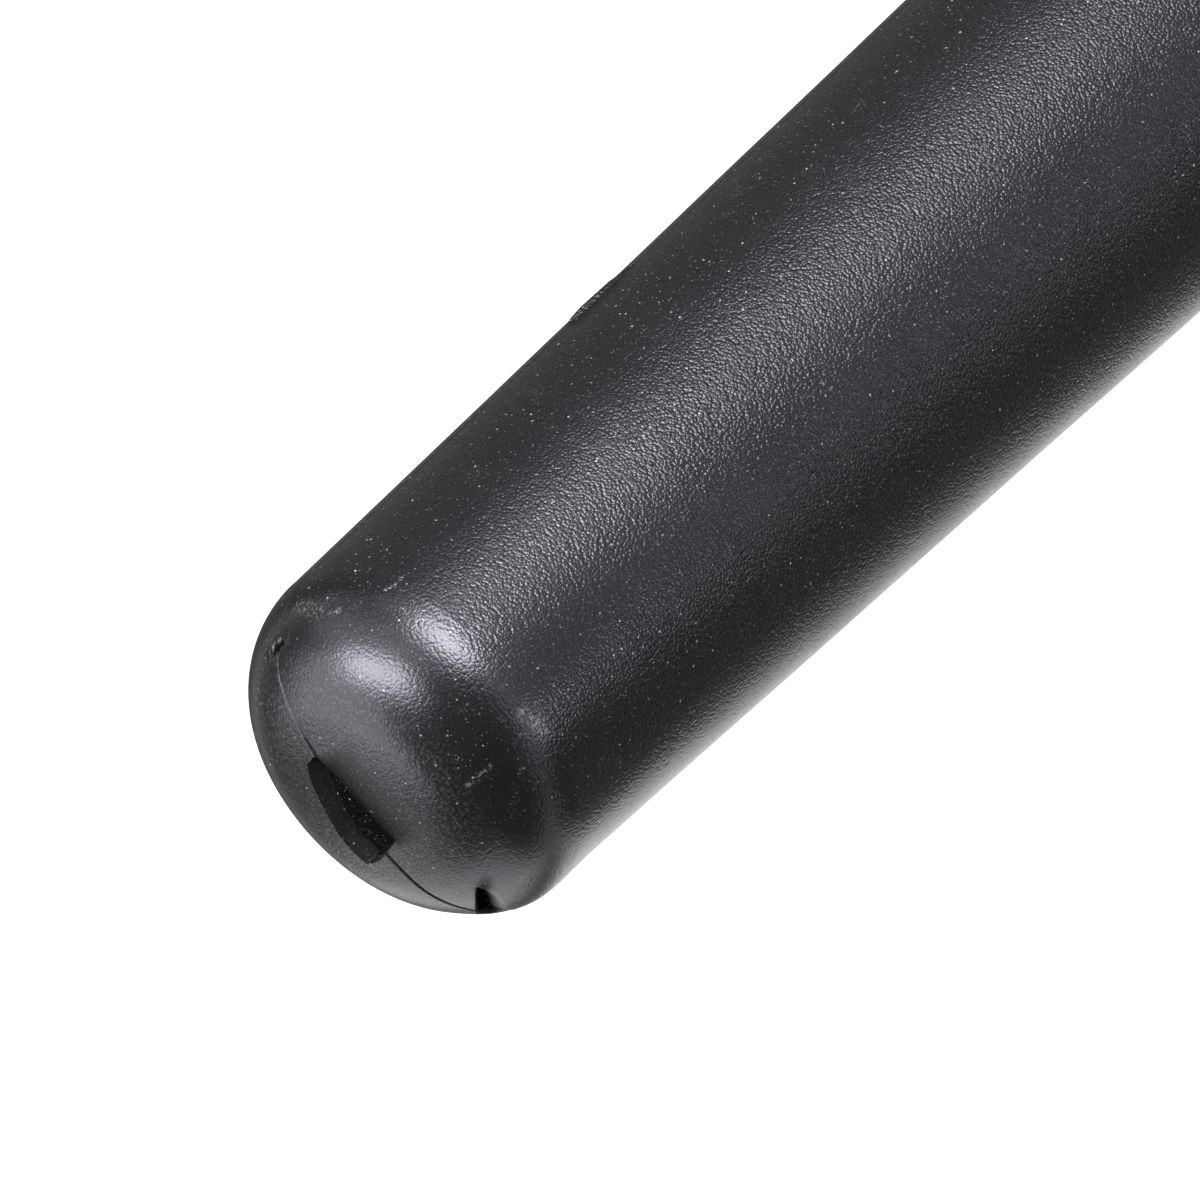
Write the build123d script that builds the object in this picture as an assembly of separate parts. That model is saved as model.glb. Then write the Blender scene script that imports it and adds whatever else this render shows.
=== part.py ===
from build123d import *
import os
from math import cos, pi, radians, sqrt, tan

# A screw-on rubber mast aerial, standing on its base face with the tip up and the stud below.
# All sizes are millimetres. The mast's axis is Z and the base face is the plane Z = 0.
# The mould's parting plane is the plane Y = 0.

# Jacket
mast_length = 180.0         # base face to the end of the tip
base_diameter = 15.0        # at the base face
tip_diameter = 8.0          # where the straight taper runs out into the end
tip_corner_radius = 2.43    # round between the taper and the end
tip_crown_radius = 12.7     # low crown of the end
base_edge_radius = 0.8      # round at the base
mould_clearance = 0.04      # jacket to everything it is moulded around

# Gate scar, a pocket in the end that lies over the parting line
gate_length = 2.6           # along the parting line
gate_offset = 0.12          # axis to the pocket's middle, towards the notch
gate_far_wide = 1.15        # parting line to the far edge, at the end towards the notch
gate_far_narrow = 0.6       # parting line to the far edge, at the other end
gate_point = 0.25           # length of the slanted stretch at that other end
gate_near_bulge = 0.56      # parting line to the middle of the near edge
gate_near_end = 0.4         # parting line to the near edge, at the end towards the notch
gate_depth = 0.3            # below the top of the crown
gate_corner_radius = 0.1

# Corner notch, a small wedge where the parting line turns the corner
notch_turn = 26.0           # degrees about the axis that the steep wall is turned
notch_reach = 3.0           # axis to the steep wall
notch_shift = 1.77          # low end of the notch, along the wall
notch_width = 1.6           # along the wall
notch_drop = 1.45           # end of the tip to the floor, at the wall's low end
notch_tilt = 29.0           # degrees that the floor climbs along the wall
notch_slope = 42.0          # degrees that the floor falls away from the wall

# Stud, a double-ended M5
stud_diameter = 5.0
stud_projection = 9.0       # below the base face
stud_grip = 9.0             # inside the insert
stud_chamfer = 0.6
relief_width = 1.2          # thread relief between the two threads
relief_depth = 0.5
thread_clearance = 0.03

# Base insert
insert_recess = 0.5         # base face to the insert's face
flange_diameter = 10.4
flange_thickness = 1.6
barrel_diameter = 8.8       # over the knurl
barrel_length = 8.0
groove_diameter = 7.0       # the jacket locks into this groove
groove_width = 2.0
collar_length = 3.0
spigot_length = 8.0
insert_chamfer = 0.4
knurl_count = 20
knurl_depth = 0.3

# Coil former
former_diameter = 4.2       # also the insert's spigot, so that the coil runs on without a step
tenon_diameter = 2.8
tenon_length = 7.0
head_length = 2.0
tip_cover = 5.0             # solid rubber above the former
former_clearance = 0.03

# Radiator coil
wire_size = 0.6             # square wire
coil_pitch = 9.0
coil_steps = 12             # straight lengths of wire in a turn
coil_clearance = 0.04       # wire to the former, the collar and the head
solder_radius = 0.8

# Derived sizes
base_radius = base_diameter / 2
tip_radius = tip_diameter / 2
crown_rise = tip_crown_radius - sqrt(tip_crown_radius**2 - tip_radius**2)

stud_radius = stud_diameter / 2
stud_top = insert_recess + stud_grip

flange_radius = flange_diameter / 2
barrel_radius = barrel_diameter / 2
groove_radius = groove_diameter / 2
flange_top = insert_recess + flange_thickness
barrel_top = flange_top + barrel_length
groove_top = barrel_top + groove_width
collar_top = groove_top + collar_length
spigot_top = collar_top + spigot_length

former_radius = former_diameter / 2
former_top = mast_length - tip_cover
head_bottom = former_top - head_length

coil_inner_radius = (former_radius + coil_clearance) / cos(pi / coil_steps)
coil_radius = coil_inner_radius + wire_size / 2
coil_outer_radius = coil_inner_radius + wire_size
coil_start = collar_top + coil_clearance + wire_size / 2
coil_end = head_bottom - coil_clearance - wire_size / 2


def turned(*outline):
    """Solid of revolution about Z from (radius, height) corners."""
    section = make_face(Polyline(*outline, close=True))
    return revolve(Plane.XZ * section, Axis.Z)


def jacket_body():
    """Outer form: straight taper, rounded corner and low crown, turned about the axis."""
    shoulder = (tip_radius, mast_length - crown_rise)
    apex = (0, mast_length)
    outline = [
        Line((0, 0), (base_radius, 0)),
        Line((base_radius, 0), shoulder),
        TangentArc(apex, shoulder, tangent=(1, 0)),
        Line(apex, (0, 0)),
    ]
    section = make_face(outline)
    tip_corner = section.vertices().sort_by_distance(shoulder)[0]
    section = fillet(tip_corner, tip_corner_radius)
    base_corner = section.vertices().sort_by_distance((base_radius, 0))[0]
    section = fillet(base_corner, base_edge_radius)
    return revolve(Plane.XZ * section, Axis.Z)


def jacket_cavity():
    """Room for the insert, the coil and the former, with a lip of rubber in the insert's groove."""
    gap = mould_clearance
    return turned(
        (0, 0),
        (flange_radius + gap, 0),
        (flange_radius + gap, flange_top + gap),
        (barrel_radius + gap, flange_top + gap),
        (barrel_radius + gap, barrel_top + gap),
        (groove_radius + gap, barrel_top + gap),
        (groove_radius + gap, groove_top - gap),
        (barrel_radius + gap, groove_top - gap),
        (barrel_radius + gap, collar_top + gap),
        (coil_outer_radius + gap, collar_top + gap),
        (coil_outer_radius + gap, former_top + gap),
        (0, former_top + gap),
    )


def gate_scar():
    """Pocket left in the end where the mould was filled: a bowed near edge and a straight far one."""
    half = gate_length / 2
    point = (half, 0)
    far_narrow = (half - gate_point, gate_far_narrow)
    far_wide = (-half, gate_far_wide)
    near_end = (-half, -gate_near_end)
    outline = [
        Line(point, far_narrow),
        Line(far_narrow, far_wide),
        Line(far_wide, near_end),
        ThreePointArc(near_end, (0, -gate_near_bulge), point),
    ]
    pocket = make_face(outline)
    pocket = fillet(pocket.vertices(), gate_corner_radius)
    return Pos(-gate_offset, 0, mast_length - gate_depth) * extrude(pocket, 2 * gate_depth)


def corner_notch():
    """Wedge with a steep wall towards the axis and a floor that falls away outwards."""
    run = tip_radius
    fall = run * tan(radians(notch_slope))
    side = make_face(Polyline((0, 0), (0, run), (-run, run), (-run, -fall), close=True))
    wedge = Rot(-notch_tilt, 0, 0) * extrude(Plane.XZ * side, notch_width)
    return Rot(0, 0, notch_turn) * Pos(-notch_reach, notch_shift, mast_length - notch_drop) * wedge


def mast_jacket():
    return jacket_body() - jacket_cavity() - gate_scar() - corner_notch()


def base_insert():
    """Turned brass: flange, knurled barrel, locking groove, collar and the coil's spigot."""
    tip = insert_chamfer
    blank = turned(
        (0, insert_recess),
        (flange_radius, insert_recess),
        (flange_radius, flange_top),
        (barrel_radius, flange_top),
        (barrel_radius, barrel_top),
        (groove_radius, barrel_top),
        (groove_radius, groove_top),
        (barrel_radius, groove_top),
        (barrel_radius, collar_top - tip),
        (barrel_radius - tip, collar_top),
        (former_radius, collar_top),
        (former_radius, spigot_top),
        (0, spigot_top),
    )
    hole_radius = stud_radius + thread_clearance
    thread_hole = turned(
        (0, insert_recess),
        (hole_radius + tip, insert_recess),
        (hole_radius, insert_recess + tip),
        (hole_radius, stud_top),
        (0, stud_top),
    )
    socket_radius = tenon_diameter / 2 + former_clearance
    socket_depth = tenon_length + former_clearance
    socket = Pos(0, 0, spigot_top) * Cylinder(
        socket_radius, socket_depth, align=(Align.CENTER, Align.CENTER, Align.MAX)
    )
    tooth = make_face(
        Polyline((-knurl_depth, 0), (knurl_depth, -knurl_depth), (knurl_depth, knurl_depth), close=True)
    )
    groove = Pos(0, 0, flange_top) * extrude(tooth, barrel_length)
    knurl = [place * groove for place in PolarLocations(barrel_radius, knurl_count)]
    return blank - thread_hole - socket - knurl


def threaded_stud():
    """Double-ended stud at thread size, bottomed in the insert, with a relief between the threads."""
    relief_radius = stud_radius - relief_depth
    relief_top = insert_recess + relief_width / 2
    relief_bottom = relief_top - relief_width
    end_radius = stud_radius - stud_chamfer
    return turned(
        (0, -stud_projection),
        (end_radius, -stud_projection),
        (stud_radius, stud_chamfer - stud_projection),
        (stud_radius, relief_bottom),
        (relief_radius, relief_bottom),
        (relief_radius, relief_top),
        (stud_radius, relief_top),
        (stud_radius, stud_top - stud_chamfer),
        (end_radius, stud_top),
        (0, stud_top),
    )


def coil_former():
    """Nylon rod with a tenon in the spigot and a head as wide as the coil."""
    tenon_radius = tenon_diameter / 2
    return turned(
        (0, spigot_top - tenon_length),
        (tenon_radius, spigot_top - tenon_length),
        (tenon_radius, spigot_top),
        (former_radius, spigot_top),
        (former_radius, head_bottom),
        (coil_outer_radius, head_bottom),
        (coil_outer_radius, former_top - insert_chamfer),
        (coil_outer_radius - insert_chamfer, former_top),
        (0, former_top),
    )


def radiator_coil():
    """Wire wound from the insert's collar to the former's head, laid in short straight lengths."""
    turns = (coil_end - coil_start) / coil_pitch
    wire = Plane.XZ * Rectangle(wire_size, wire_size)
    sections = []
    for step in range(int(turns * coil_steps) + 1):
        turn = step / coil_steps
        place = Rot(0, 0, 360 * turn) * Pos(coil_radius, 0, coil_start + coil_pitch * turn)
        sections.append(place * wire)
    return loft(sections, ruled=True)


def solder_joint(coil):
    """Blob that fills the space between the spigot, the collar and the first stretch of wire."""
    blob = Pos(coil_radius, 0, coil_start) * Sphere(solder_radius)
    room = turned(
        (former_radius, collar_top),
        (coil_radius, collar_top),
        (coil_radius, spigot_top),
        (former_radius, spigot_top),
    )
    return (blob & room) - coil


coil = radiator_coil()
nodes = {
    "mast_jacket": mast_jacket(),
    "coil_former": coil_former(),
    "radiator_coil": coil,
    "base_insert": base_insert(),
    "solder_joint": solder_joint(coil),
    "threaded_stud": threaded_stud(),
}

os.makedirs("parts", exist_ok=True)
for name, solid in nodes.items():
    export_step(solid, f"parts/{name}.step")
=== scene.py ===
import math

import bpy
from mathutils import Matrix, Vector, noise


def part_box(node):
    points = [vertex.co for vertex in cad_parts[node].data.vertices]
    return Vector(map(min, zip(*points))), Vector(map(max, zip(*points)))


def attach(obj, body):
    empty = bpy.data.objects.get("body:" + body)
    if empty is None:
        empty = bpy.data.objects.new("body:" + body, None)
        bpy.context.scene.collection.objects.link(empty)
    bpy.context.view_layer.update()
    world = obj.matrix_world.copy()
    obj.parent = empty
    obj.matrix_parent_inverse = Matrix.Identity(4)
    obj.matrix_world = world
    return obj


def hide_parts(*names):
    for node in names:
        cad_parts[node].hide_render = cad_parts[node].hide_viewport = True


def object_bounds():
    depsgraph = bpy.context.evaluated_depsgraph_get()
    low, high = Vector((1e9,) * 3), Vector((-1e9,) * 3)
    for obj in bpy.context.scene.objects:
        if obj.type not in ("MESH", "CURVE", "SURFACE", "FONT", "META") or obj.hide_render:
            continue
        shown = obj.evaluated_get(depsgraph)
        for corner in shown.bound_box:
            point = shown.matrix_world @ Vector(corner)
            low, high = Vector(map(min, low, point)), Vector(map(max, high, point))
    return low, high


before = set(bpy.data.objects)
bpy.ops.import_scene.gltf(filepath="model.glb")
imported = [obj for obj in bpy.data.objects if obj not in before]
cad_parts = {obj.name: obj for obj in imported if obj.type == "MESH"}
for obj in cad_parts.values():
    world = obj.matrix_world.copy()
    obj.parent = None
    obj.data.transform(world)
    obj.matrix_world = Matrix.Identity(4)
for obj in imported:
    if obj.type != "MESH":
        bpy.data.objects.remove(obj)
cad_low, cad_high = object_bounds()

# Sizes in metres, in the CAD part's frame: +Z from the base face to the tip, parting plane Y = 0
mm = 0.001

# Jacket
mast_length = 180.0 * mm
base_radius = 7.5 * mm
tip_radius = 4.0 * mm           # where the straight taper runs out into the end
corner_radius = 2.43 * mm       # round between the taper and the end
crown_radius = 12.7 * mm        # low crown of the end
base_round = 0.8 * mm
bore_radius = 2.856 * mm
bore_top = mast_length - 4.96 * mm
sway_height = 0.01 * mm         # the moulded surface is slightly uneven
sway_length = 4.0 * mm

# Inside of the jacket's mouth, as radius and height in millimetres: flange, knurled barrel, groove, collar
mouth_outline = [
    (5.24, 0.0), (5.24, 2.14), (4.44, 2.14), (4.44, 10.14), (3.54, 10.14), (3.54, 12.06), (4.44, 12.06),
    (4.44, 15.14),
]

# Gate scar on the end, its outline in millimetres about the axis
gate_outline = [
    (1.17, 0.05), (1.08, 0.42), (0.84, 0.66), (0.28, 0.92), (-0.73, 1.23), (-1.36, 1.10),
    (-1.43, 0.85), (-1.32, 0.15), (-1.12, -0.47), (-0.04, -0.32), (0.72, -0.18),
]
gate_rounding = 0.04 * mm       # of the outline's corners
gate_rounding_limit = 30.0      # in roundings, an edge further off no longer counts
gate_depth = 0.3 * mm
gate_far_wall = 0.2 * mm        # width of the wall that climbs to the far edge
gate_end_wall = 0.05 * mm       # width of the walls at the ends
gate_lip = 0.06 * mm            # outside the near edge, where the surface starts to roll down
gate_lip_radius = 0.1 * mm
gate_unevenness = 0.12          # share of the depth
gate_lump = 0.3 * mm            # size of an uneven spot on the floor
gate_takes_over = 0.25          # share of the depth at which the other marks are gone
far_wall_light_reach = 1.5              # in widths of the far wall, how far its paler painted light reaches
burr_height = 0.02 * mm         # outside the far edge, at the narrow end
burr_width = 0.04 * mm
burr_fade = 1.0 * mm
gate_shade_middle = -0.05 * mm        # of the painted shade outside the near edge: skin made dull and unreflecting
gate_shade_length = 1.3 * mm          # from its middle to each end
gate_shade_reach = 1.3 * mm           # outwards
gate_shade_fade = 0.15 * mm           # inwards, over the lip
gate_shade_squareness = 8             # higher ends it more sharply

# Moulding line: a crack on the end, a raised line elsewhere
seam_height = 0.003 * mm
seam_width = 0.02 * mm
seam_step = 0.012 * mm          # between the two halves of the mould
seam_shift = 0.15 * mm          # sideways, past the gate scar
seam_shift_length = 1.0 * mm
side_seam_height = 0.010 * mm
crack_depth = 0.04 * mm
crack_width = 0.024 * mm
crack_end = 2.1 * mm            # along X
crack_fade = 0.9 * mm

# Fin of flash on the moulding line
fin_drop = 11.45 * mm           # tip to its peak
fin_height = 0.08 * mm
fin_peak = 0.036 * mm           # added at its peak
fin_width = 0.08 * mm
fin_rise = 0.46 * mm            # length towards the tip
fin_fall = 1.5 * mm             # length towards the base
fin_steepness = 6               # of its two ends

# Corner notch, the dull streak past its high end, and the swell of the corner about it
notch_low = Vector((-3.48, 0.29)) * mm
notch_high = Vector((-2.85, -1.02)) * mm
notch_reach = 0.42 * mm         # from the wall out
notch_depth = 0.30 * mm
notch_wall = 0.02 * mm
notch_bow = 0.035 * mm          # of the wall, outwards
notch_squareness = 4            # higher narrows it later towards its high end
notch_run_out = 0.2             # past the low end, as a share of the wall's length
notch_run_out_fade = 0.1
dull_streak_out = 0.12 * mm          # from the wall to the streak's middle
dull_streak_width = 0.20 * mm
dull_streak_length = 0.7 * mm
dull_streak_share = 0.8
swell_place = Vector((-3.92, -0.10, 178.1)) * mm
swell_height = 0.09 * mm
swell_reach = 1.6 * mm

# Pit at the moulding line's other end
pit_place = Vector((3.36, 0.05)) * mm
pit_lean = -0.22
pit_width = 0.07 * mm
pit_length = 0.27 * mm
pit_depth = 0.09 * mm
pit_raggedness = 0.6
pit_rag = 0.1 * mm              # size of a rag on its edge
scar_onset = 2.0                # how steeply the torn skin sets in at the notch and the pit

# Mesh of the jacket, as (end, spacing) in millimetres
tip_columns = [(1.6, 0.03), (2.7, 0.08), (4.0, 0.03)]   # from the axis along the moulding line
tip_columns_rest = 0.1
tip_rows = [(0.2, 0.018), (1.3, 0.03)]                  # from the moulding line outwards
tip_rows_rest = 0.12
side_rows = [(-0.8, 0.8), (1.8, 0.1), (13.0, 0.8)]      # ends counted from the fin's peak
far_rows_spacing = 4.0
base_rows_spacing = 0.16
outline_lead = 2.0              # the way along the outline is that much longer than the drop below the tip
far_column_share = 4            # one column in this many runs on to the base
jacket_sharp_angle = math.radians(50)

# Stud, M5 by 0.8
stud_radius = 2.5 * mm
stud_chamfer = 0.6 * mm
relief_low = -0.1 * mm          # thread relief, as heights
relief_high = 1.1 * mm
relief_depth = 0.5 * mm
thread_pitch = 0.8 * mm
thread_depth = 0.45 * mm
thread_crest = 0.0875           # half of the flat crest, in pitches
thread_flank = 0.25             # in pitches
stud_columns = 72
stud_rows_per_pitch = 14
stud_sharp_angle = math.radians(35)

# Rubber. Drops are measured down from the tip, and pairs run from the first value to the second.
rubber_dark = (0.0060, 0.0060, 0.0070, 1)
rubber_light = (0.0090, 0.0090, 0.0105, 1)
# Torn rubber, also laid over the painted shade beside the gate scar
torn_and_shade_colour = (0.006, 0.006, 0.0065, 1)
# Paler colour painted on the gate scar's far wall, for the light that falls on it
far_wall_light_colour = (0.032, 0.032, 0.033, 1)
sheen_tint = (0.89, 0.895, 1.0, 1)
worn_drops = (3.0 * mm, 1.2 * mm)       # the grain is worn down towards the tip
fresh_drops = (10.0 * mm, 3.0 * mm)     # the surface is fresher away from it
patch_size = 2.0 * mm
patch_limits = (0.3, 0.7)
patch_roughness = (0.17, 0.23)
worn_roughness = 0.10                   # added
fresh_roughness = 0.06                  # added
torn_roughness = 0.7
gloss = (1.0, 0.80)                     # from worn to fresh
pebble_size = 0.07 * mm
dimple_size = 0.05 * mm
dimple_share = 0.5
grain_height = 0.0115 * mm
grain_strength = (0.70, 1.25)           # from worn to fresh
grain_loss = 0.45                       # where it is worn

# Dust, and painted glints among the fine specks. Limits cut noise into spots, and specks have a spacing,
# smallest and largest radius, and strength.
dust_and_glint_colour = (0.62, 0.62, 0.64, 1)
speck_core = 0.5                        # share of the radius inside the soft edge
# Fine specks: partly dust, partly painted glints of the grain
fine_specks_and_glints = (0.095 * mm, 0.010 * mm, 0.022 * mm, 0.36)
coarse_specks = (0.22 * mm, 0.015 * mm, 0.034 * mm, 0.85)
film_size = 0.07 * mm
film_limits = (0.50, 0.72)
film_strength = 0.09
film_drops = (0.9 * mm, 0.4 * mm)
scuff_size = 0.9 * mm
scuff_limits = (0.64, 0.72)
scuff_strength = 0.12
rub_size = 0.35 * mm
rub_limits = (0.56, 0.66)
rub_start_drops = (2.8 * mm, 2.0 * mm)
rub_end_drops = (1.4 * mm, 1.0 * mm)
crumb_size = 0.04 * mm
crumb_limits = (0.56, 0.72)
grit_size = 0.06 * mm
grit_limits = (0.48, 0.68)

# Streaks of dust: two ends as x, y and drop below the tip, half a width (all in millimetres), and strength
dust_streaks = [
    ((-0.33, -4.00, 2.18), (-0.89, -3.93, 2.38), 0.24, 0.4),
    ((-0.27, -4.02, 2.41), (-0.34, -4.03, 2.73), 0.03, 0.4),
    ((-0.80, -3.04, 0.66), (-0.73, -3.48, 1.09), 0.09, 0.3),
    ((3.19, -2.45, 2.26), (3.14, -2.53, 2.43), 0.06, 0.9),
    ((3.14, -2.53, 2.43), (3.16, -2.52, 2.75), 0.05, 0.7),
    ((3.79, -0.50, 1.54), (3.54, -1.26, 1.42), 0.24, 0.2),
    ((3.44, -1.55, 1.43), (3.40, -1.73, 1.52), 0.10, 0.4),
    ((0.64, -4.31, 18.82), (0.57, -4.33, 19.07), 0.04, 0.5),
    ((0.53, -4.33, 18.89), (0.45, -4.33, 18.68), 0.03, 0.4),
    ((-1.46, 0.96, 0.12), (-1.43, 1.02, 0.12), 0.06, 1.0),
]

# Metals: colour, tarnished colour, roughness and size of the grain
metals = {
    "stud_steel": ((0.60, 0.61, 0.62, 1), (0.48, 0.49, 0.50, 1), 0.28, 0.08 * mm),
    "insert_brass": ((0.78, 0.60, 0.30, 1), (0.62, 0.46, 0.22, 1), 0.25, 0.1 * mm),
    "coil_wire": ((0.76, 0.42, 0.27, 1), (0.60, 0.32, 0.20, 1), 0.3, 0.1 * mm),
    "solder": ((0.62, 0.62, 0.60, 1), (0.50, 0.50, 0.49, 1), 0.4, 0.15 * mm),
}
tarnish_size = 1.5 * mm
metal_roughness_spread = 0.12
metal_grain_limits = (0.3, 0.7)
metal_grain_height = 0.01 * mm
metal_grain_strength = 0.25

# Nylon
nylon_colours = ((0.74, 0.71, 0.63, 1), (0.82, 0.80, 0.74, 1))
nylon_cloud = 2.0 * mm
nylon_roughness = 0.55

# Floor and surroundings
floor_half_width = 20.0
floor_colours = ((0.80, 0.80, 0.80, 1), (0.83, 0.83, 0.83, 1))
floor_mottle = 0.05
floor_glow = 0.76
sky_glow = 0.10

# Lamps: direction from the tip (across the mast, to the front, up), distance, width, height and glow
panels = {
    "front_panel": ((-0.50, 0.86, -0.11), 0.45, 0.28, 0.16, 11.6),
    "side_panel": ((-0.61, 0.28, 0.74), 0.45, 0.32, 0.16, 11.2),
    "back_panel": ((-0.36, -0.43, 0.83), 0.50, 0.50, 0.42, 1.75),
    "fill_panel": ((-0.85, 0.40, 0.34), 0.50, 0.90, 0.22, 0.9),
    "low_panel": ((0.59, 0.75, -0.31), 0.45, 0.06, 0.05, 8.0),
    "right_panel": ((0.54, -0.80, 0.24), 0.50, 0.56, 0.36, 1.15),
}

# Cards on the floor: grey, left and right edge across the mast, rear and front edge
cards = {
    "left_card": (0.2, -1.5, 0.0, -1.5, 0.2),
    "right_card": (0.26, 0.1, 1.5, -0.21, 0.12),
    "corner_card": (0.2, 0.22, 1.5, 0.12, 0.6),
    "rear_card": (0.6, 0.0, 1.5, -1.5, -0.36),
    "front_card": (0.40, -0.2, 0.22, 0.1, 0.6),
}
card_lift = 1.0 * mm
card_roughness = 0.9

# Camera, as the photograph was taken
view_tilt = math.radians(30.63)     # down on the tip
view_turn = math.radians(10.96)     # about the mast
axis_slope = math.radians(42.65)    # of the mast in the picture
camera_distance = 0.5
picture_width = 24.24 * mm
aim_along = -6.515 * mm             # from the tip, along the mast in the picture
aim_across = 0.414 * mm
sensor_width = 36                   # millimetres


# Jacket outline, from the middle of the end down to the base

crown_rise = crown_radius - math.sqrt(crown_radius**2 - tip_radius**2)
crown_centre = mast_length - crown_radius
taper = math.atan2(base_radius - tip_radius, mast_length - crown_rise)
inner_radius = crown_radius - corner_radius
corner_offset = base_radius * math.cos(taper) - corner_radius - crown_centre * math.sin(taper)
corner_reach = math.sqrt(inner_radius**2 - corner_offset**2)
corner_rise = corner_offset * math.sin(taper) + corner_reach * math.cos(taper)
corner_distance = (corner_offset - corner_rise * math.sin(taper)) / math.cos(taper)
corner_middle = Vector((corner_distance, crown_centre + corner_rise))
base_middle = Vector((base_radius - base_round * (1 + math.sin(taper)) / math.cos(taper), base_round))

side_angle = math.pi / 2 - taper
corner_angle = math.atan2(corner_middle.x, corner_rise)
crown_end = crown_radius * corner_angle
corner_end = crown_end + corner_radius * (side_angle - corner_angle)
side_normal = Vector((math.sin(side_angle), math.cos(side_angle)))
side_top = corner_middle + corner_radius * side_normal
side_bottom = base_middle + base_round * side_normal
side_end = corner_end + (side_top - side_bottom).length
outline_end = side_end + base_round * (math.pi - side_angle)


def outline(distance):
    """Radius, height and the normal's angle from the axis, that far along from the middle of the end."""
    if distance <= crown_end:
        angle = distance / crown_radius
        return crown_radius * math.sin(angle), crown_centre + crown_radius * math.cos(angle), angle
    if distance <= corner_end:
        angle = corner_angle + (distance - crown_end) / corner_radius
        place = corner_middle + corner_radius * Vector((math.sin(angle), math.cos(angle)))
        return place.x, place.y, angle
    if distance <= side_end:
        place = side_top.lerp(side_bottom, (distance - corner_end) / (side_end - corner_end))
        return place.x, place.y, side_angle
    angle = side_angle + (distance - side_end) / base_round
    place = base_middle + base_round * Vector((math.sin(angle), math.cos(angle)))
    return place.x, place.y, angle


# Marks on the jacket's surface

def smooth(value):
    """0 below 0, 1 above 1 and an even curve between."""
    value = min(1.0, max(0.0, value))
    return value * value * (3 - 2 * value)


def ridge(distance, width):
    """1 on a line, and a soft fall to both sides of it."""
    return math.exp(-((distance / width) ** 2))


def gate_edges(x, y):
    """Distance in from the gate scar's near edges, its far edges and its ends, negative outside them."""
    gathered = {"near": 0.0, "far": 0.0, "end": 0.0}
    corners = [Vector(corner) * mm for corner in gate_outline]
    for first, second in zip(corners, corners[1:] + corners[:1]):
        run = (second - first).normalized()
        inward = (x - first.x) * -run.y + (y - first.y) * run.x
        side = "near" if run.x > 0 else "far"
        if abs(run.y) > abs(run.x):
            side = "end"
        gathered[side] += math.exp(-min(inward / gate_rounding, gate_rounding_limit))
    return [-gate_rounding * math.log(total) for total in gathered.values()]


def gate_cut(x, y):
    """Depth of the gate scar: it rolls down over a rounded near lip and climbs a wall to the far edge."""
    near, far, end = gate_edges(x, y)
    rolled = max(0.0, near + gate_lip) ** 2 / (2 * gate_lip_radius)
    climbed = max(0.0, min(far / gate_far_wall, end / gate_end_wall))
    return min(gate_depth, rolled, gate_depth * climbed)


def gate_burr(x, y):
    """Low burr left standing outside the far edge, at the scar's narrow end."""
    near, far, end = gate_edges(x, y)
    if near < 0:
        return 0.0
    return burr_height * ridge(min(far, end) + burr_width, burr_width) * smooth(x / burr_fade)


def gate_painted_shade(x, near):
    """Painted shade beside the gate scar's near edge, as skin made dull and unreflecting, fading outwards
    and past the scar's ends.
    """
    outwards = max(0.0, 1 + min(0.0, near) / gate_shade_reach)
    lengthways = max(0.0, 1 - ((x - gate_shade_middle) / gate_shade_length) ** gate_shade_squareness)
    return outwards * lengthways * smooth(1 - near / gate_shade_fade)


def from_notch(x, y):
    """Share of the way along the notch's wall, from its low end, and distance out from the wall."""
    run = notch_high - notch_low
    along = ((x - notch_low.x) * run.x + (y - notch_low.y) * run.y) / run.length_squared
    out = ((x - notch_low.x) * run.y - (y - notch_low.y) * run.x) / run.length
    return along, out


def notch_cut(x, y):
    """Depth of the corner notch: a sharp wall towards the axis and a floor that rises outwards."""
    along, out = from_notch(x, y)
    if not -notch_run_out < along < 1.0:
        return 0.0
    out -= 4 * notch_bow * along * (1 - along)
    narrowing = math.sqrt(1 - max(0.0, along) ** notch_squareness)
    wall = smooth(out / notch_wall)
    floor = max(0.0, 1 - out / (notch_reach * narrowing))
    return notch_depth * wall * floor * narrowing * smooth((along + notch_run_out) / notch_run_out_fade)


def notch_dull_streak(x, y):
    """Dull streak that runs on from the notch's high end."""
    along, out = from_notch(x, y)
    past_end = (along - 1) * (notch_high - notch_low).length
    away = math.hypot(past_end / dull_streak_length, (out - dull_streak_out) / dull_streak_width)
    return dull_streak_share * smooth(1 - away)


def off_seam(x, y):
    """Distance from the moulding line, which steps over a little at the gate scar."""
    return y - seam_shift * smooth(-x / seam_shift_length)


def cracked(x):
    """1 where the moulding line is a crack, 0 past the crack's end."""
    return smooth((crack_end - x) / crack_fade)


def seam(x, y):
    """Moulding line: a crack on the end beside the gate scar, elsewhere a fine raised line with a step."""
    away = off_seam(x, y)
    raised = seam_height * ridge(away, seam_width)
    crack = crack_depth * ridge(away, crack_width)
    step = seam_step * (smooth(0.5 + away / seam_width) - 0.5)
    return step + raised * (1 - cracked(x)) - crack * cracked(x)


def side_seam(x, y, below_tip):
    """Moulding line down the side, with a thin fin of flash on one side: a short rise and a long fall."""
    past_peak = below_tip - fin_drop
    length = fin_fall if past_peak > 0 else fin_rise
    share = max(0.0, 1 - abs(past_peak) / length) if x > 0 else 0.0
    fin = fin_height * smooth(fin_steepness * share) + fin_peak * share
    return side_seam_height * ridge(y, seam_width) + fin * ridge(y, fin_width)


def in_pit(x, y):
    """Distance from the middle of the pit, 1 at its ragged edge."""
    along = y - pit_place.y
    across = x - pit_place.x - pit_lean * along
    ragged = pit_raggedness * noise.noise(Vector((x, y, 0)) / pit_rag)
    return max(0.0, math.hypot(across / pit_width, along / pit_length) + ragged)


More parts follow.
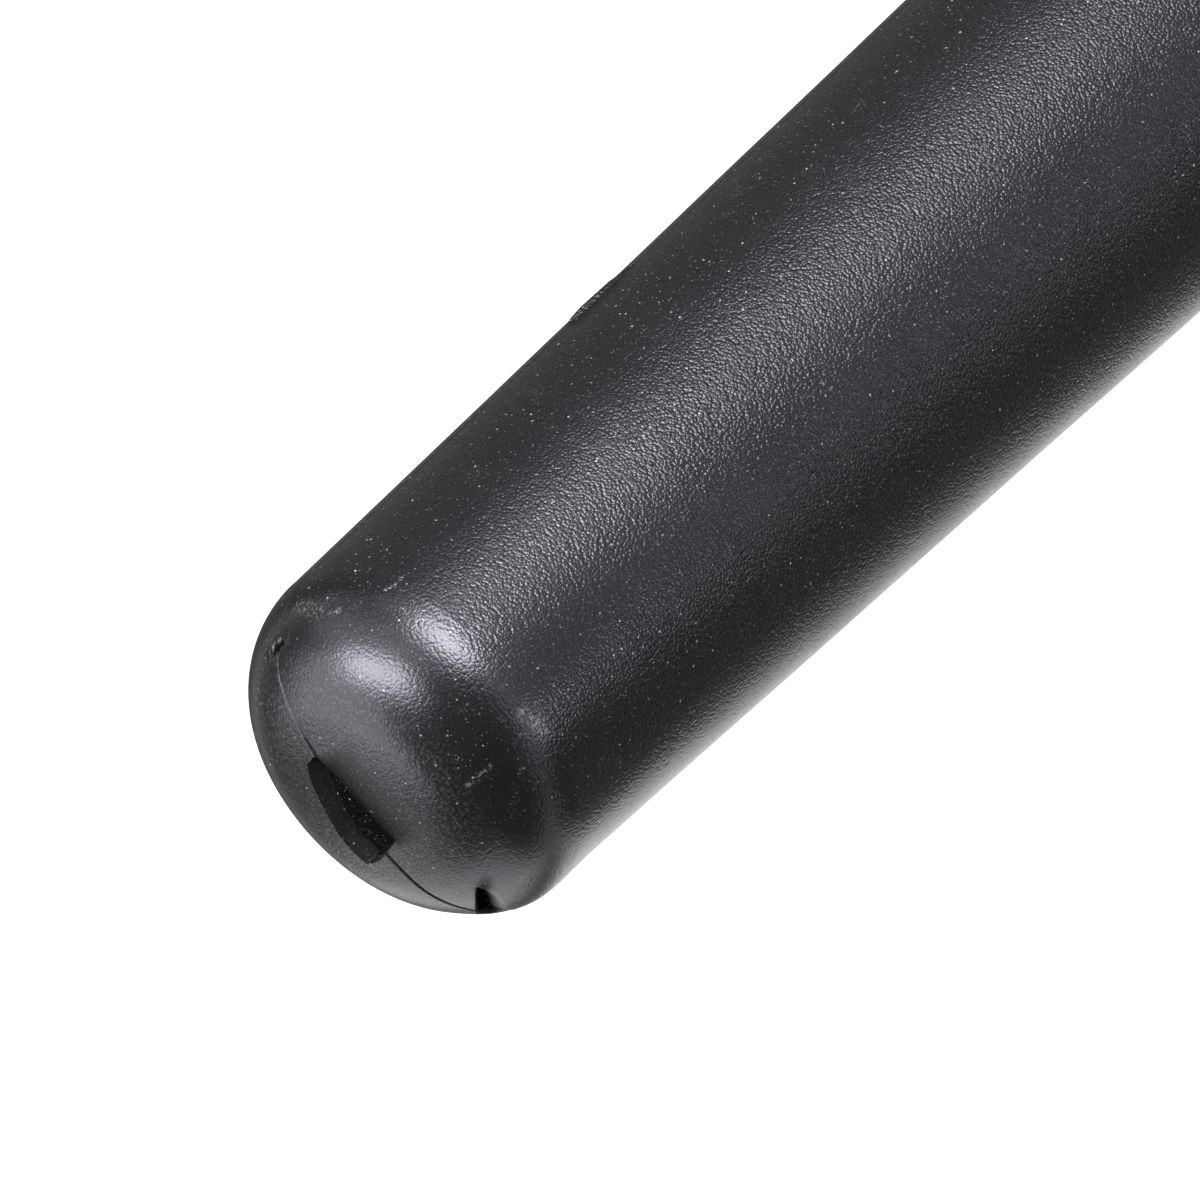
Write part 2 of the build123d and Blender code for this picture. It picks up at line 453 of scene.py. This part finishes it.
def scar_and_shade_share(x, y):
    """How far the skin is torn, and where painted shade dulls it beside the gate scar: 1 on the floors of
    the cuts, 2 on the gate's far wall, which takes a paler painted light.
    """
    near, far, end = gate_edges(x, y)
    # Painted shade beside the gate scar's near edge
    gate = gate_painted_shade(x, near) if far > 0 else 0.0
    if min(near, far, end) > 0:
        # Painted light: the far wall is coloured paler where light falls on it
        gate = 1 + smooth(far_wall_light_reach - far / gate_far_wall)
    notch = max(notch_dull_streak(x, y), smooth(scar_onset * notch_cut(x, y) / notch_depth))
    crack = ridge(off_seam(x, y), crack_width) * cracked(x)
    pit = smooth(0.5 + scar_onset * (1 - in_pit(x, y)))
    return max(gate, notch, crack, pit)


def marks(x, y, z):
    """How far the surface stands out from the plain outline."""
    place = Vector((x, y, z))
    below_tip = mast_length - z
    base = sway_height * noise.noise(place / sway_length)
    base += swell_height * smooth(1 - (place - swell_place).length / swell_reach)
    if below_tip > corner_radius:
        return base + side_seam(x, y, below_tip)
    pit = pit_depth * ridge(in_pit(x, y), 1.0)
    others = seam(x, y) + gate_burr(x, y) - notch_cut(x, y) - pit
    cut = gate_cut(x, y)
    lumps = gate_unevenness * noise.noise(Vector((x, y, 0)) / gate_lump)
    return base + others * (1 - smooth(cut / (gate_takes_over * gate_depth))) - cut * (1 + lumps)


# Jacket mesh: a square grid over the tip that runs on into columns down the side

def graded(start, stretches):
    """Places from the start on, in stretches of (end, spacing)."""
    places = [start]
    for end, spacing in stretches:
        begin = places[-1]
        count = round((end - begin) / spacing)
        places += [begin + (end - begin) * (step + 1) / count for step in range(count)]
    return places


def mirrored(places):
    """Places from 0 out, to both sides."""
    return [-place for place in reversed(places[1:])] + places


class Shell:
    """Vertices and faces of the jacket as they are added."""

    def __init__(self):
        self.points = []
        self.faces = []
        self.scar_and_shade_shares = []

    def add(self, distance, turn):
        """Vertex on the marked surface, that far along the outline. Returns its number."""
        radius, height, angle = outline(distance)
        x, y = radius * math.cos(turn), radius * math.sin(turn)
        out = marks(x, y, height)
        scar = scar_and_shade_share(x, y) if height > mast_length - corner_radius else 0.0
        x += out * math.sin(angle) * math.cos(turn)
        y += out * math.sin(angle) * math.sin(turn)
        return self.put(x, y, height + out * math.cos(angle), scar)

    def put(self, x, y, z, scar=0.0):
        """Vertex at that place. Returns its number."""
        self.points.append((x, y, z))
        self.scar_and_shade_shares.append(scar)
        return len(self.points) - 1

    def band(self, upper, lower):
        """Faces between two rings. The lower ring may have fewer columns."""
        share = len(upper) // len(lower)
        for column in range(len(lower)):
            first = column * share
            top = [upper[(first + step) % len(upper)] for step in range(share + 1)]
            self.faces.append(top[::-1] + [lower[column], lower[(column + 1) % len(lower)]])


def tip_grid(shell, columns, rows):
    """Square grid stretched over the end and corner. Returns its rim, ordered by turn, and the turns."""
    index = {}
    turns = {}
    for row, v in enumerate(rows):
        for column, u in enumerate(columns):
            x = u * math.sqrt(1 - v * v / 2)
            y = v * math.sqrt(1 - u * u / 2)
            turn = math.atan2(y, x)
            index[column, row] = shell.add(corner_end * math.hypot(x, y), turn)
            if column in (0, len(columns) - 1) or row in (0, len(rows) - 1):
                turns[index[column, row]] = turn
    for row in range(len(rows) - 1):
        for column in range(len(columns) - 1):
            corners = [(column, row), (column + 1, row), (column + 1, row + 1), (column, row + 1)]
            shell.faces.append([index[corner] for corner in corners])
    rim = sorted(turns, key=turns.get)
    return rim, [turns[corner] for corner in rim]


def build_jacket():
    """Jacket from the tip's grid down the outside, round the base and up into the bore."""
    shell = Shell()
    reach = corner_end / mm
    columns = mirrored(graded(0.0, tip_columns + [(reach, tip_columns_rest)]))
    rows = mirrored(graded(0.0, tip_rows + [(reach, tip_rows_rest)]))
    ring, turns = tip_grid(shell, [place / reach for place in columns], [place / reach for place in rows])

    fin_at = fin_drop / mm + outline_lead
    close_rows = graded(reach, [(fin_at + end, spacing) for end, spacing in side_rows])
    for distance in close_rows[1:]:
        lower = [shell.add(distance * mm, turn) for turn in turns]
        shell.band(ring, lower)
        ring = lower

    turns = turns[::far_column_share]
    far_stretches = [(side_end / mm, far_rows_spacing), (outline_end / mm, base_rows_spacing)]
    far_rows = graded(close_rows[-1], far_stretches)
    for distance in far_rows[1:]:
        lower = [shell.add(distance * mm, turn) for turn in turns]
        shell.band(ring, lower)
        ring = lower

    mouth = [Vector(corner) * mm for corner in mouth_outline]
    for radius, height in mouth + [(bore_radius, mouth[-1].y), (bore_radius, bore_top)]:
        lower = [shell.put(radius * math.cos(turn), radius * math.sin(turn), height) for turn in turns]
        shell.band(ring, lower)
        ring = lower
    shell.faces.append(ring[::-1])

    mesh = bpy.data.meshes.new("jacket")
    mesh.from_pydata(shell.points, [], shell.faces)
    # Shares of torn skin, of painted shade beside the gate scar and of painted light on its far wall
    scar_and_shade_shares = mesh.attributes.new("scar", "FLOAT", "POINT")
    scar_and_shade_shares.data.foreach_set("value", shell.scar_and_shade_shares)
    mesh.update()
    return mesh


# Stud mesh

def build_stud(low, high):
    """Stud with its thread cut all along, a relief between the two ends and chamfered ends."""
    rows = round((high - low) / thread_pitch * stud_rows_per_pitch)
    points, faces = [(0, 0, low)], []
    for row in range(rows + 1):
        z = low + (high - low) * row / rows
        limit = stud_radius - max(0.0, stud_chamfer - min(z - low, high - z))
        if relief_low < z < relief_high:
            limit = stud_radius - relief_depth
        for column in range(stud_columns):
            turn = column / stud_columns
            phase = (z / thread_pitch - turn) % 1.0
            groove = max(0.0, min(1.0, (abs(phase - 0.5) - thread_crest) / thread_flank))
            radius = min(limit, stud_radius - thread_depth * groove)
            angle = 2 * math.pi * turn
            points.append((radius * math.cos(angle), radius * math.sin(angle), z))
    points.append((0, 0, high))
    for column in range(stud_columns):
        across = (column + 1) % stud_columns
        faces.append([0, 1 + across, 1 + column])
        for row in range(rows):
            here, above = 1 + row * stud_columns, 1 + (row + 1) * stud_columns
            faces.append([here + column, here + across, above + across, above + column])
        top = 1 + rows * stud_columns
        faces.append([top + column, top + across, len(points) - 1])
    mesh = bpy.data.meshes.new("stud")
    mesh.from_pydata(points, [], faces)
    mesh.update()
    return mesh


# Shader nodes

def new_material(name):
    """New material with its node tree and its surface node."""
    material = bpy.data.materials.new(name)
    material.use_nodes = True
    tree = material.node_tree
    return material, tree, tree.nodes["Principled BSDF"]


def set_input(tree, socket, value):
    """Links the socket when the value is another node's output, and sets it otherwise."""
    if isinstance(value, bpy.types.NodeSocket):
        tree.links.new(value, socket)
    else:
        socket.default_value = value


def add_node(tree, kind, settings=None, **inputs):
    """New node with its settings, and its inputs by name (an underscore is a space) or number (i0, i1)."""
    node = tree.nodes.new(kind)
    for name, value in (settings or {}).items():
        setattr(node, name, value)
    for name, value in inputs.items():
        numbered = name[0] == "i" and name[1:].isdigit()
        set_input(tree, node.inputs[int(name[1:]) if numbered else name.replace("_", " ")], value)
    return node


def object_place(tree):
    """Place on the piece, in metres."""
    return add_node(tree, "ShaderNodeTexCoord").outputs["Object"]


def maths(tree, operation, first, second):
    """Result of that operation on two values."""
    return add_node(tree, "ShaderNodeMath", {"operation": operation}, i0=first, i1=second).outputs[0]


def times(tree, first, second):
    """One value times another."""
    return maths(tree, "MULTIPLY", first, second)


def vector_maths(tree, operation, first, second):
    """Node of that operation on two vectors."""
    return add_node(tree, "ShaderNodeVectorMath", {"operation": operation}, i0=first, i1=second)


def ramp(tree, value, low, high, bottom=0.0, top=1.0):
    """Value carried from low..high to bottom..top, held at the ends."""
    node = add_node(
        tree, "ShaderNodeMapRange", Value=value, From_Min=low, From_Max=high, To_Min=bottom, To_Max=top
    )
    return node.outputs[0]


def mix_colour(tree, share, first, second):
    """First colour, with that share of the second."""
    return add_node(tree, "ShaderNodeMix", {"data_type": "RGBA"}, i0=share, i6=first, i7=second).outputs[2]


def mix_value(tree, share, first, second):
    """First value, with that share of the second."""
    return add_node(tree, "ShaderNodeMix", i0=share, i2=first, i3=second).outputs[0]


def noise_at(tree, place, size, detail=2.0):
    """Noise with features about that many metres across."""
    return add_node(tree, "ShaderNodeTexNoise", Vector=place, Scale=1 / size, Detail=detail).outputs["Fac"]


def spots(tree, place, size, limits, detail=2.0):
    """Soft spots about that many metres across, 0 below the limits of the noise and 1 above them."""
    return ramp(tree, noise_at(tree, place, size, detail), *limits)


def nearing_tip(tree, height, drops, bottom=0.0, top=1.0):
    """Value carried from bottom to top between two drops below the tip."""
    far, near = drops
    return ramp(tree, height, mast_length - far, mast_length - near, bottom, top)


# Dust on the jacket, with painted glints among its fine specks

def specks(tree, place, spacing, smallest, largest, strongest):
    """Soft pale specks, one to a cell of that spacing, each with its own size and strength: dust, and
    painted glints of the grain where they are fine.
    """
    cells = add_node(tree, "ShaderNodeTexVoronoi", Vector=place, Scale=1 / spacing)
    chance = add_node(tree, "ShaderNodeSeparateColor", Color=cells.outputs["Color"])
    radius = ramp(tree, chance.outputs[1], 0.0, 1.0, smallest / spacing, largest / spacing)
    nearness = maths(tree, "DIVIDE", cells.outputs["Distance"], radius)
    body = ramp(tree, nearness, speck_core, 1.0, 1.0, 0.0)
    return times(tree, body, times(tree, chance.outputs[0], strongest))


def streak(tree, place, first, last, half_width):
    """Soft mask about the line between two places on the jacket, each an x, y and drop below the tip."""
    start, end = [Vector((x * mm, y * mm, mast_length - drop * mm)) for x, y, drop in (first, last)]
    run = end - start
    offset = vector_maths(tree, "SUBTRACT", place, start).outputs[0]
    along = vector_maths(tree, "DOT_PRODUCT", offset, run / run.length_squared).outputs[1]
    foot = vector_maths(tree, "MULTIPLY", run, ramp(tree, along, 0.0, 1.0)).outputs[0]
    distance = vector_maths(tree, "DISTANCE", offset, foot).outputs[1]
    return ramp(tree, distance, 0.0, half_width * mm, 1.0, 0.0)


def scuffs(tree, place, height):
    """Patches of pale crumbs, more of them where the tip's corner has been rubbed."""
    patch = spots(tree, place, scuff_size, scuff_limits)
    above = nearing_tip(tree, height, rub_start_drops)
    below = nearing_tip(tree, height, rub_end_drops, 1.0, 0.0)
    rubbed = times(tree, spots(tree, place, rub_size, rub_limits), times(tree, above, below))
    crumbs = spots(tree, place, crumb_size, crumb_limits, detail=1.0)
    scuffed = times(tree, crumbs, maths(tree, "MAXIMUM", patch, rubbed))
    return times(tree, scuffed, scuff_strength)


def dust_film(tree, place, height, torn_and_shaded):
    """Thin film of dust on the flat of the end, but neither in its cuts nor in the painted shade beside the
    gate scar.
    """
    film = times(tree, spots(tree, place, film_size, film_limits), film_strength)
    whole = maths(tree, "SUBTRACT", 1.0, torn_and_shaded)
    return times(tree, film, times(tree, nearing_tip(tree, height, film_drops), whole))


def jacket_dust(tree, place, height, torn_and_shaded):
    """All the dust on the jacket, with the fine specks that are partly painted glints, as its share of the
    colour.
    """
    layers = [
        specks(tree, place, *fine_specks_and_glints),
        specks(tree, place, *coarse_specks),
        scuffs(tree, place, height),
        dust_film(tree, place, height, torn_and_shaded),
    ]
    grit = spots(tree, place, grit_size, grit_limits, detail=1.0)
    for first, last, half_width, strength in dust_streaks:
        line = times(tree, streak(tree, place, first, last, half_width), strength)
        layers.append(times(tree, line, grit))
    dust = layers[0]
    for layer in layers[1:]:
        dust = maths(tree, "MAXIMUM", dust, layer)
    return dust


# Materials

def rubber_grain(tree, place, worn, fresh):
    """Pebbled grain with fine dimples, lower where it is worn."""
    pebble = add_node(tree, "ShaderNodeTexVoronoi", Vector=place, Scale=1 / pebble_size).outputs["Distance"]
    dimples = times(tree, noise_at(tree, place, dimple_size, detail=1.0), dimple_share)
    grain = maths(tree, "SUBTRACT", dimples, times(tree, pebble, pebble))
    left = maths(tree, "SUBTRACT", 1.0, times(tree, worn, grain_loss))
    strength = ramp(tree, fresh, 0.0, 1.0, *grain_strength)
    grain = times(tree, grain, times(tree, strength, left))
    return add_node(tree, "ShaderNodeBump", Strength=1.0, Distance=grain_height, Height=grain).outputs[0]


def rubber_material():
    """Moulded black rubber: pebbled grain that is worn down at the tip, uneven sheen, dust with painted
    glints among it, torn cuts, painted shade beside the gate scar and painted light on its far wall.
    """
    material, tree, surface = new_material("jacket_rubber")
    place = object_place(tree)
    height = add_node(tree, "ShaderNodeSeparateXYZ", Vector=place).outputs[2]
    # The scar attribute holds torn skin and the painted shade beside the gate scar up to 1, and the painted
    # light on its far wall from 1 to 2
    scar = add_node(tree, "ShaderNodeAttribute", {"attribute_name": "scar"}).outputs["Fac"]
    torn_and_shaded = ramp(tree, scar, 0.0, 1.0)
    far_wall_light = ramp(tree, scar, 1.0, 2.0)
    worn = nearing_tip(tree, height, worn_drops)
    fresh = nearing_tip(tree, height, fresh_drops, 1.0, 0.0)
    patch = noise_at(tree, place, patch_size, detail=3.0)

    black = mix_colour(tree, patch, rubber_dark, rubber_light)
    black = mix_colour(tree, torn_and_shaded, black, torn_and_shade_colour)
    # Painted light on the gate scar's far wall
    black = mix_colour(tree, far_wall_light, black, far_wall_light_colour)
    # Dust, with painted glints among its fine specks
    dust = jacket_dust(tree, place, height, torn_and_shaded)
    set_input(tree, surface.inputs["Base Color"], mix_colour(tree, dust, black, dust_and_glint_colour))

    sheen = ramp(tree, patch, *patch_limits, *patch_roughness)
    sheen = maths(tree, "ADD", sheen, times(tree, worn, worn_roughness))
    sheen = maths(tree, "ADD", sheen, times(tree, fresh, fresh_roughness))
    set_input(tree, surface.inputs["Roughness"], mix_value(tree, torn_and_shaded, sheen, torn_roughness))
    shine = ramp(tree, fresh, 0.0, 1.0, *gloss)
    # No reflection where torn: the cuts are matte torn rubber, and this also paints their floors as black as
    # shade; beside the gate scar it is painted shade only
    set_input(tree, surface.inputs["Specular IOR Level"], mix_value(tree, torn_and_shaded, shine, 0.0))
    set_input(tree, surface.inputs["Specular Tint"], sheen_tint)
    set_input(tree, surface.inputs["Normal"], rubber_grain(tree, place, worn, fresh))
    return material


def metal_material(name, colour, dark, roughness, grain_size):
    """Turned or drawn metal with a fine grain and slight tarnish."""
    material, tree, surface = new_material(name)
    place = object_place(tree)
    tarnish = noise_at(tree, place, tarnish_size, detail=4.0)
    grain = noise_at(tree, place, grain_size)
    dullness = ramp(tree, grain, *metal_grain_limits, roughness, roughness + metal_roughness_spread)
    bump = add_node(
        tree, "ShaderNodeBump", Strength=metal_grain_strength, Distance=metal_grain_height, Height=grain
    )
    set_input(tree, surface.inputs["Base Color"], mix_colour(tree, tarnish, colour, dark))
    set_input(tree, surface.inputs["Roughness"], dullness)
    set_input(tree, surface.inputs["Metallic"], 1.0)
    set_input(tree, surface.inputs["Normal"], bump.outputs[0])
    return material


def nylon_material():
    """Cream nylon, slightly cloudy."""
    material, tree, surface = new_material("former_nylon")
    cloud = noise_at(tree, object_place(tree), nylon_cloud, detail=3.0)
    set_input(tree, surface.inputs["Base Color"], mix_colour(tree, cloud, *nylon_colours))
    set_input(tree, surface.inputs["Roughness"], nylon_roughness)
    return material


def floor_material():
    """Pale floor that reads white to the camera and still takes the shadow."""
    material, tree, surface = new_material("floor")
    tree.nodes.remove(surface)
    light = add_node(tree, "ShaderNodeLightPath")
    seen = maths(tree, "MAXIMUM", light.outputs["Is Camera Ray"], light.outputs["Is Glossy Ray"])
    seen = maths(tree, "MAXIMUM", seen, light.outputs["Is Transmission Ray"])
    mottle = noise_at(tree, object_place(tree), floor_mottle)
    paper = add_node(tree, "ShaderNodeBsdfDiffuse", Color=mix_colour(tree, mottle, *floor_colours))
    glow = add_node(tree, "ShaderNodeEmission", Strength=times(tree, seen, floor_glow))
    both = add_node(tree, "ShaderNodeAddShader", i0=paper.outputs[0], i1=glow.outputs[0])
    tree.links.new(both.outputs[0], tree.nodes["Material Output"].inputs["Surface"])
    return material


# Pieces

def place_piece(name, mesh, sharp_angle, material, node):
    """Piece in the place of a node of the CAD part, smooth but for its sharp edges."""
    mesh.shade_smooth()
    mesh.set_sharp_from_angle(angle=sharp_angle)
    mesh.materials.append(material)
    piece = bpy.data.objects.new(name, mesh)
    bpy.context.scene.collection.objects.link(piece)
    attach(piece, "root")
    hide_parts(node)


place_piece("jacket", build_jacket(), jacket_sharp_angle, rubber_material(), "mast_jacket")

stud_low, stud_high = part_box("threaded_stud")
stud_mesh = build_stud(stud_low.z, stud_high.z)
finishes = {name: metal_material(name, *finish) for name, finish in metals.items()}
place_piece("stud", stud_mesh, stud_sharp_angle, finishes["stud_steel"], "threaded_stud")

finished_nodes = {
    "coil_former": nylon_material(),
    "radiator_coil": finishes["coil_wire"],
    "base_insert": finishes["insert_brass"],
    "solder_joint": finishes["solder"],
}
for name, material in finished_nodes.items():
    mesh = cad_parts[name].data
    mesh.materials.clear()
    mesh.materials.append(material)


# Directions for the stage and the camera

towards = Vector((math.sin(view_turn), -math.cos(view_turn), 0))
up_mast = Vector((0, 0, 1))
across_mast = Vector((-math.cos(view_turn), -math.sin(view_turn), 0))
back = math.cos(view_tilt) * towards + math.sin(view_tilt) * up_mast
along_picture = math.cos(view_tilt) * up_mast - math.sin(view_tilt) * towards
tip_end = Vector((0, 0, mast_length))


# Stage and light

def add_floor():
    """White floor under the part."""
    half = floor_half_width
    mesh = bpy.data.meshes.new("floor")
    corners = [(-half, -half, 0), (half, -half, 0), (half, half, 0), (-half, half, 0)]
    mesh.from_pydata(corners, [], [[0, 1, 2, 3]])
    mesh.materials.append(floor_material())
    floor = bpy.data.objects.new("floor", mesh)
    floor.location.z = cad_low.z
    bpy.context.scene.collection.objects.link(floor)


def add_panel(name, direction, distance, width, height, glow):
    """Soft lamp that faces the tip from that direction. A glow of 1 looks white."""
    across, front, up = direction
    outwards = (across * across_mast + front * towards + up * up_mast).normalized()
    light = bpy.data.lights.new(name, "AREA")
    light.shape = "RECTANGLE"
    light.size = width
    light.size_y = height
    light.energy = glow * math.pi * width * height
    lamp = bpy.data.objects.new(name, light)
    lamp.location = tip_end + outwards * distance
    lamp.rotation_mode = "QUATERNION"
    lamp.rotation_quaternion = outwards.to_track_quat("Z", "Y")
    lamp.visible_camera = False
    bpy.context.scene.collection.objects.link(lamp)


def add_card(name, grey, left, right, rear, front):
    """Grey card on the floor that only reflections see, to keep the sides of the mast dark."""
    mesh = bpy.data.meshes.new(name)
    corners = [(left, rear), (right, rear), (right, front), (left, front)]
    mesh.from_pydata([x * across_mast + y * towards for x, y in corners], [], [[0, 1, 2, 3]])
    material, tree, surface = new_material(name)
    set_input(tree, surface.inputs["Base Color"], (grey, grey, grey, 1))
    set_input(tree, surface.inputs["Roughness"], card_roughness)
    mesh.materials.append(material)
    card = bpy.data.objects.new(name, mesh)
    card.location.z = cad_low.z + card_lift
    card.visible_camera = False
    card.visible_diffuse = False
    card.visible_shadow = False
    card.visible_transmission = False
    bpy.context.scene.collection.objects.link(card)


def add_sky():
    """Faint even light from all around."""
    world = bpy.data.worlds.new("studio")
    bpy.context.scene.world = world
    world.use_nodes = True
    background = world.node_tree.nodes["Background"]
    background.inputs["Color"].default_value = (1, 1, 1, 1)
    background.inputs["Strength"].default_value = sky_glow


add_floor()
for name, panel in panels.items():
    add_panel(name, *panel)
for name, card in cards.items():
    add_card(name, *card)
add_sky()


# Camera

aim = tip_end + aim_along * along_picture + aim_across * across_mast
right = -math.cos(axis_slope) * along_picture + math.sin(axis_slope) * across_mast
up = -(math.sin(axis_slope) * along_picture + math.cos(axis_slope) * across_mast)
camera_place = Matrix((right, up, back)).transposed().to_4x4()
camera_place.translation = aim + back * camera_distance
camera_data = bpy.data.cameras.new("camera")
camera_data.sensor_width = sensor_width
camera_data.lens = sensor_width * camera_distance / picture_width
camera = bpy.data.objects.new("camera", camera_data)
camera.matrix_world = camera_place
bpy.context.scene.collection.objects.link(camera)
bpy.context.scene.camera = camera
bpy.context.scene.view_settings.view_transform = "Standard"
